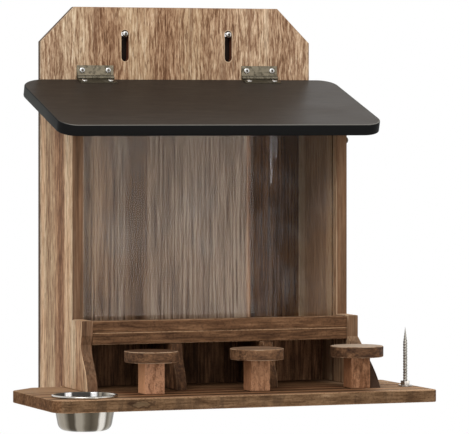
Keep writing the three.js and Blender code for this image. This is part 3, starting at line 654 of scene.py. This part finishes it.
def paint_deck():
    """Dark wood with light and dark lines along the top, painted sheen on the wings, painted shade in the middle,
    and one knot in the front edge.
    """
    net, colour = make_dark_wood(
        "wood_deck", "Z", "X", (0.45, 0.15, 0.85), 0.06, 0.65, light_edge=0.8, specular=0.01, run=1.8)
    place = net.split(net.place)
    normal = net.split(net.normal)
    upward = net.span(normal[2], 0.6, 0.8)
    forward = net.span(normal[1], -0.7, -0.9)

    # Painted sheen on the pale wings, and painted shade in the darker middle
    wing = net.span(net.math("ABSOLUTE", place[0]), 0.11, 0.15)
    painted_sheen = net.times(upward, wing, net.span(place[0], 0.11, 0.15, 0.5, 0.78))
    colour = net.mix(painted_sheen, colour, tone(200, 166, 132))
    painted_bay_shade = net.times(upward, net.invert(wing), 0.2)
    colour = net.mix(painted_bay_shade, colour, tone(30, 20, 13))

    # Front edge with dark blotches
    colour = net.mix(forward, colour, net.tint(colour, (0.93, 1.06, 1.14, 1)))
    blotch = net.noise(net.stretched(60, 60, 14), detail=3, roughness=0.6)
    blotch = net.times(net.span(blotch, 0.5, 0.62), forward, 0.45)
    colour = net.mix(blotch, colour, tone(62, 47, 36))

    # The knot's eye and the dark ring round it
    across = net.math("DIVIDE", net.math("SUBTRACT", place[0], KNOT_X), KNOT_HALF_WIDTH)
    height = net.math("DIVIDE", net.math("SUBTRACT", place[2], KNOT_Z), KNOT_HALF_HEIGHT)
    wobble = net.noise(net.stretched(150, 150, 260), detail=3, roughness=0.65)
    reach = net.math("ADD", net.length(across, height), net.math("MULTIPLY_ADD", wobble, 1.6, -0.8))
    eye = net.times(net.span(reach, 0.8, 0.4), forward, 0.45)
    colour = net.mix(eye, colour, tone(104, 90, 70))
    ring = net.span(net.math("ABSOLUTE", net.math("SUBTRACT", reach, 0.85)), 0.26, 0.06)
    colour = net.mix(net.times(ring, forward, 0.6), colour, tone(48, 34, 26))

    # Wavy lines along the top: distance from the deck's front, half width, strength, colour
    wave = net.noise(net.stretched(9, 60, 9), detail=2)
    back = net.math("SUBTRACT", place[1], DECK_FRONT)
    back = net.math("ADD", back, net.math("MULTIPLY_ADD", wave, 0.014, -0.007))
    lines = (
        (0.006, 0.0045, 0.6, (204, 160, 124)), (0.019, 0.006, 0.6, (62, 42, 30)),
        (0.033, 0.006, 0.55, (178, 130, 94)), (0.047, 0.006, 0.6, (64, 42, 29)),
        (0.062, 0.006, 0.45, (170, 122, 88)), (0.078, 0.007, 0.55, (84, 46, 30)),
        (0.1, 0.006, 0.5, (60, 38, 26)),
    )
    for depth, half, strength, shade in lines:
        line = net.span(net.math("ABSOLUTE", net.math("SUBTRACT", back, depth)), half, half * 0.45)
        colour = net.mix(net.times(line, upward, strength), colour, tone(*shade))
    net.set(colour=colour)
    paint(net.material, "deck")


# Pieces made here
def add_object(name, data):
    """A new object in the scene."""
    item = bpy.data.objects.new(name, data)
    bpy.context.scene.collection.objects.link(item)
    return item


def add_piece(name, points, faces, material, body, stands_for, flat_over=0):
    """A smooth mesh piece that stands for CAD nodes and rides on their body. Faces of more corners stay flat."""
    mesh = bpy.data.meshes.new(name)
    mesh.from_pydata([tuple(point) for point in points], [], faces)
    mesh.validate()
    mesh.update()
    for face in mesh.polygons:
        face.use_smooth = not (flat_over and len(face.vertices) > flat_over)
    mesh.materials.append(material)
    piece = add_object(name, mesh)
    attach(piece, body)
    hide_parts(*stands_for)


def turn(profile, steps, change=None):
    """Points and faces of a profile of radius and height turned about Z, closed on the axis at both ends."""
    points = []
    rings = []
    for radius, height in profile:
        if radius < 1e-7:
            rings.append([len(points)])
            points.append(Vector((0, 0, height)))
            continue
        ring = []
        for step in range(steps):
            angle = 2 * math.pi * step / steps
            ring.append(len(points))
            point = Vector((radius * math.cos(angle), radius * math.sin(angle), height))
            points.append(change(point) if change else point)
        rings.append(ring)
    faces = []
    for low, high in zip(rings, rings[1:]):
        for step in range(steps):
            after = (step + 1) % steps
            if len(low) == 1:
                faces.append((low[0], high[after], high[step]))
            elif len(high) == 1:
                faces.append((low[step], low[after], high[0]))
            else:
                faces.append((low[step], low[after], high[after], high[step]))
    return points, faces


def round_corner(centre, radius, start, end, steps):
    """Points of an arc in radius and height, angles in degrees."""
    points = []
    for step in range(steps + 1):
        angle = math.radians(start + (end - start) * step / steps)
        points.append((centre[0] + radius * math.cos(angle), centre[1] + radius * math.sin(angle)))
    return points


def make_lid(material):
    """The lid with round corners and softly rounded arrises, its rear face cut upright."""
    turned = Matrix.Translation(PIN) @ Matrix.Rotation(LID_SLOPE, 4, "X")
    arris_steps, corner_steps = 5, 20
    upper = []
    for step in range(arris_steps + 1):
        angle = math.radians(90 * step / arris_steps)
        upper.append((LID_ROUND * (1 - math.sin(angle)), LID_TOP - LID_ROUND * (1 - math.cos(angle))))
    lower = [(inset, 2 * LID_TOP - LID_THICKNESS - height) for inset, height in reversed(upper)]
    rings = upper + lower
    points = []
    for inset, height in rings:
        ring = []
        for quarter, corner in enumerate(LID_CORNERS):
            x = (LID_HALF_WIDTH - corner) * (-1 if quarter in (1, 2) else 1)
            y = LID_REAR - corner if quarter < 2 else LID_FRONT + corner
            ring += round_corner((x, y), corner - inset, 90 * quarter, 90 * quarter + 90, corner_steps)
        limit = (LID_REAR_LIMIT - PIN.y + height * math.sin(LID_SLOPE)) / math.cos(LID_SLOPE)
        points += [turned @ Vector((x, min(y, limit), height)) for x, y in ring]
    count = len(points) // len(rings)
    faces = [tuple(range(count))]
    for low in range(0, len(points) - count, count):
        for step in range(count):
            after = (step + 1) % count
            faces.append((low + after, low + step, low + count + step, low + count + after))
    faces.append(tuple(reversed(range(len(points) - count, len(points)))))
    add_piece("lid_board", points, faces, material, "lid", ["lid"], flat_over=4)


def make_stool_seat(side, material, seed):
    """A sawn disc, slightly out of round, with a broken top arris."""
    low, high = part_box("stool_seat_" + side)
    middle = (low + high) / 2
    height = high.z - low.z
    inset = STOOL_RADIUS - STOOL_ARRIS
    profile = [(0, 0), (STOOL_RADIUS * 0.5, 0), (inset, 0)]
    profile += round_corner((inset, STOOL_ARRIS), STOOL_ARRIS, -80, 0, 3)
    profile += [(STOOL_RADIUS, height * share) for share in (0.3, 0.5, 0.7)]
    profile += round_corner((inset, height - STOOL_ARRIS), STOOL_ARRIS, 0, 80, 3)
    profile += [(inset, height), (STOOL_RADIUS * 0.8, height), (STOOL_RADIUS * 0.4, height), (0, height)]

    def roughen(point):
        out = Vector((point.x, point.y, 0)).normalized()
        rim = max(0.0, out.dot(point) / STOOL_RADIUS - 0.85) / 0.15
        slow = noise.noise(Vector((out.x * 1.5, out.y * 1.5, seed)))
        fast = noise.noise(Vector((out.x * 9, out.y * 9, point.z * 300 + seed)))
        return point - out * rim * (0.00025 * (1 + slow) + 0.0002 * (1 + fast))

    points, faces = turn(profile, 96, roughen)
    place = Vector((middle.x, middle.y, low.z))
    points = [point + place for point in points]
    add_piece("seat_" + side, points, faces, material, "box", ["stool_seat_" + side])


def make_bowl(material):
    """A spun bowl with a rolled rim."""
    low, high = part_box("bowl")
    waist = DECK_TOP - 0.006
    rim = high.z - BOWL_LIP
    lip_radius = BOWL_MOUTH + BOWL_LIP - BOWL_WALL / 2
    steps = 8

    def base_corner(wall, floor, shares):
        """The rounding from the base to the wall, whose radius bends over at wall."""
        corner = []
        for step in shares:
            share = step / steps
            start = (1 - share) ** 2 * (BOWL_BASE - BOWL_CORNER)
            bend = 2 * share * (1 - share) * wall
            end = share ** 2 * (wall + BOWL_WALL)
            corner.append((start + bend + end, low.z + floor + (BOWL_CORNER - floor) * share * share))
        return corner

    profile = [(0, low.z), (BOWL_BASE - BOWL_CORNER, low.z)]
    profile += base_corner(BOWL_BASE, 0, range(1, steps + 1))
    profile += [(BOWL_MOUTH, waist), (BOWL_MOUTH, rim - BOWL_LIP)]
    profile += round_corner((lip_radius, rim), BOWL_LIP, -90, 180, 16)
    profile += [(BOWL_MOUTH - BOWL_WALL, waist)]
    profile += base_corner(BOWL_BASE - BOWL_WALL, BOWL_WALL, range(steps, -1, -1))
    profile += [(0, low.z + BOWL_WALL)]
    points, faces = turn(profile, 128)
    points = [point + Vector((BOWL_MIDDLE.x, BOWL_MIDDLE.y, 0)) for point in points]
    add_piece("bowl_shell", points, faces, material, "bowl", ["bowl"])


def make_head_mesh(name, radius, rise, shank, length, angle):
    """A domed screw with a crossed recess, its head on z = 0 and its shank below."""
    dome_steps = 8
    profile = [(0, -length), (shank * 0.4, shank - length), (shank, 2.5 * shank - length), (shank, -0.0001)]
    profile += [(radius * 0.96, 0), (radius, rise * 0.12)]
    for step in range(1, dome_steps):
        share = math.radians(90 * step / dome_steps)
        profile.append((radius * math.cos(share), rise * (0.12 + 0.88 * math.sin(share))))
    profile.append((0, rise))
    points, faces = turn(profile, 40)
    mesh = bpy.data.meshes.new(name)
    mesh.from_pydata(points, [], faces)
    body = add_object(name + "_body", mesh)
    cutters = []
    arm, half, deep = radius * 0.6, radius * 0.14, rise - 0.0009
    sides = [(3, 2, 1, 0), (4, 5, 6, 7), (0, 1, 5, 4), (1, 2, 6, 5), (2, 3, 7, 6), (3, 0, 4, 7)]
    for turned in (0, math.pi / 2):
        corners = []
        for z, share in ((deep, 0.45), (rise + 0.001, 1.0)):
            for x, y in ((-1, -1), (1, -1), (1, 1), (-1, 1)):
                point = Vector((x * arm * share, y * half * (0.6 + 0.4 * share), z))
                corners.append(Matrix.Rotation(turned + angle, 3, "Z") @ point)
        cutter_mesh = bpy.data.meshes.new(name + "_cut")
        cutter_mesh.from_pydata(corners, [], sides)
        cutter = add_object(name + "_cut", cutter_mesh)
        cut = body.modifiers.new("cut", "BOOLEAN")
        cut.operation = "DIFFERENCE"
        cut.object = cutter
        cutters.append(cutter)
    bpy.context.view_layer.update()
    result = bpy.data.meshes.new_from_object(body.evaluated_get(bpy.context.evaluated_depsgraph_get()))
    result.name = name
    for item in [body, *cutters]:
        bpy.data.objects.remove(item)
    for face in result.polygons:
        face.use_smooth = True
    result.set_sharp_from_angle(angle=math.radians(38))
    return result


def make_screws(aged, bright):
    """Screws with round heads, which stand for the plainer ones. Each kind has three turns of its recess."""
    facings = {
        "down": Euler((math.pi, 0, 0)), "front": Euler((math.pi / 2, 0, 0)),
        "back": Euler((-math.pi / 2, 0, 0)), "right": Euler((0, math.pi / 2, 0)),
        "lid": Euler((LID_SLOPE, 0, 0)),
    }
    meshes = {}
    screws = [name for name in sorted(nodes) if "screw" in name]
    for index, name in enumerate(screws):
        if name.startswith("hinge"):
            kind, facing = "hinge", "lid" if "lid" in name else "front"
        elif name.startswith("hanging"):
            kind, facing = "hanging", "front"
        elif name == "side_screw":
            kind, facing = "side", "right"
        else:
            kind, facing = "wood", "back" if name.startswith(("back", "floor")) else "down"
        shines = kind in ("hinge", "hanging")
        variant = (kind, index % 3)
        if variant not in meshes:
            mesh = make_head_mesh(f"screw_{kind}_{index % 3}", *SCREWS[kind], 0.35 + 0.8 * (index % 3))
            mesh.materials.append(bright if shines else aged)
            meshes[variant] = mesh
        vertices = [vertex.co for vertex in nodes[name].data.vertices]
        low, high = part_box(name)
        middle = (low + high) / 2
        if facing == "lid":
            centre = sum(vertices, Vector()) / len(vertices)
            middle = Vector((middle.x, centre.y, centre.z))
        head_rise = SCREWS[kind][1]
        outward = facings[facing].to_matrix() @ Vector((0, 0, 1))
        reach = max(outward.dot(vertex) for vertex in vertices)
        piece = add_object("head_" + name, meshes[variant])
        piece.rotation_euler = facings[facing]
        piece.location = middle + outward * (reach - head_rise - outward.dot(middle))
        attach(piece, "lid" if "_lid_" in name else "box")
        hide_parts(name)


def make_spike(material):
    """The corn spike: a bolt from below with a coarse thread up to its point."""
    low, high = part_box("corn_spike")
    middle = (low + high) / 2
    steps, rows = 32, 140
    head_radius, head_height, head_arris = 0.0055, 0.003, 0.0006
    core, ridge_height, pitch = 0.0019, 0.0005, 0.0028
    taper_length, run_in, tip = 0.016, 0.006, 0.0004
    shank = core + ridge_height
    points, faces = turn([
        (0, low.z), (head_radius - head_arris, low.z), (head_radius, low.z + head_arris),
        (head_radius, low.z + head_height), (shank, low.z + head_height), (shank, DECK_TOP),
    ], steps)
    top = high.z - tip
    last = list(range(len(points) - steps, len(points)))
    for row in range(1, rows + 1):
        z = DECK_TOP + (top - DECK_TOP) * row / rows
        taper = min(1.0, (high.z - z) / taper_length)
        rise = min(1.0, (z - DECK_TOP) / run_in)
        ring = []
        for step in range(steps):
            share = step / steps
            phase = ((z - DECK_TOP) / pitch - share) % 1
            ridge = max(0.0, 1 - abs(phase - 0.5) * 4)
            radius = taper * (core + ridge_height * (ridge * rise + 1 - rise))
            angle = 2 * math.pi * share
            ring.append(len(points))
            points.append(Vector((radius * math.cos(angle), radius * math.sin(angle), z)))
        for step in range(steps):
            after = (step + 1) % steps
            faces.append((last[step], last[after], ring[after], ring[step]))
        last = ring
    points.append(Vector((0, 0, high.z)))
    for step in range(steps):
        faces.append((last[step], last[(step + 1) % steps], len(points) - 1))
    points = [point + Vector((middle.x, middle.y, 0)) for point in points]
    add_piece("spike_thread", points, faces, material, "box", ["corn_spike"])


# Floor, world, lamps and camera
def make_backdrop():
    """A pale floor that shows nearly white and keeps a faint shadow."""
    net = Net("floor_paper")
    net.set(colour=(0.86, 0.86, 0.86, 1), roughness=0.9, specular=0.1)
    glow = net.add("ShaderNodeEmission")
    glow.inputs["Strength"].default_value = 1
    net.mix_shaders(net.times(seen_rays(net.tree), 0.7), glow)
    mesh = bpy.data.meshes.new("floor")
    corners = [(-1, -1), (1, -1), (1, 1), (-1, 1)]
    mesh.from_pydata([(FLOOR_HALF * x, FLOOR_HALF * y, FLOOR_HEIGHT) for x, y in corners], [], [(0, 1, 2, 3)])
    mesh.materials.append(net.material)
    floor = add_object("floor", mesh)


def make_world():
    """White where it is seen, and a little darker as light on the object."""
    world = bpy.data.worlds.new("studio")
    bpy.context.scene.world = world
    world.use_nodes = True
    tree = world.node_tree
    background = tree.nodes["Background"]
    level = tree.nodes.new("ShaderNodeMapRange")
    tree.links.new(seen_rays(tree), level.inputs[0])
    level.inputs["To Min"].default_value = 0.62
    level.inputs["To Max"].default_value = 1.0
    tree.links.new(level.outputs[0], background.inputs["Strength"])
    background.inputs["Color"].default_value = (1, 1, 1, 1)


def add_lamp(name, place, aim, width, height, level, colour=(1, 1, 1), shape="RECTANGLE"):
    """A soft panel whose face has this brightness."""
    lamp = bpy.data.lights.new(name, "AREA")
    lamp.shape = shape
    lamp.size = width
    lamp.size_y = height
    lamp.energy = level * math.pi * width * height
    lamp.color = colour
    item = add_object(name, lamp)
    item.location = place
    item.rotation_euler = (Vector(aim) - Vector(place)).to_track_quat("-Z", "Y").to_euler()


def add_lamps():
    """Key and sheen light the object. The veil and the two glints show as reflections in the window."""
    add_lamp("key", (-1.1, -1.7, 1.7), (0, -0.1, -0.2), 1.5, 1.5, 4.2)
    add_lamp("veil", (0.568, -2.104, -0.25), (0, -0.104, -0.2), 0.47, 0.75, 5.2, (1, 0.9, 0.81))
    add_lamp("glint_long", (0.848, -2.1, -0.143), (0.069, -0.104, -0.12), 0.0035, 0.095, 16, shape="ELLIPSE")
    add_lamp("glint_short", (0.856, -2.1, -0.127), (0.071, -0.104, -0.12), 0.0035, 0.046, 12, shape="ELLIPSE")
    add_lamp("sheen", (0.9, 1.3, 1.0), (0.1, -0.08, -0.06), 0.9, 0.9, 1.2)


def make_camera():
    """The camera at the photo's viewing angle."""
    camera = bpy.data.cameras.new("camera")
    camera.sensor_fit = "HORIZONTAL"
    camera.sensor_width = SENSOR
    camera.lens = FOCAL_LENGTH * SENSOR / PHOTO_WIDTH
    camera.shift_y = (HORIZON - PHOTO_HEIGHT / 2) / PHOTO_WIDTH
    camera.clip_end = 100
    item = add_object("camera", camera)
    item.location = CAMERA_PLACE
    item.rotation_euler = (math.pi / 2, 0, CAMERA_TURN)
    bpy.context.scene.camera = item


# The object
paint_back_board()
paint_side_panels()
paint_dark_boards()
paint_deck()
black = make_black_board("lid_paint")
aged = make_steel("aged_steel", (110, 104, 90), (74, 68, 56), 0.3)
bright = make_steel("bright_steel", (205, 204, 200), (150, 146, 138), 0.12)
bowl_steel = make_bowl_steel("bowl_steel")
paint(make_clear("clear_acrylic"), "window")
paint(aged, *[name for name in nodes if name.startswith("hinge") and "screw" not in name])
paint(bright, "spike_washer", "spike_nut")
make_lid(black)
for side, seed, shift, painted_sheen in (
    ("left", (0.2, 0.6, 0.1), -0.1, 0.0), ("middle", (0.5, 0.1, 0.9), 0.07, 0.15),
    ("right", (0.9, 0.4, 0.3), -0.06, 0.85),
):
    make_stool_seat(side, make_seat_wood(side, seed, shift, painted_sheen), seed[0] * 10)
make_bowl(bowl_steel)
make_screws(aged, make_steel("screw_steel", (214, 213, 209), (160, 156, 148), 0.12, dirt_and_recess_shade=True))
make_spike(make_steel("spike_steel", (150, 146, 138), (104, 98, 90), 0.2))

make_camera()
make_backdrop()
make_world()
add_lamps()

bpy.context.scene.view_settings.view_transform = "Standard"
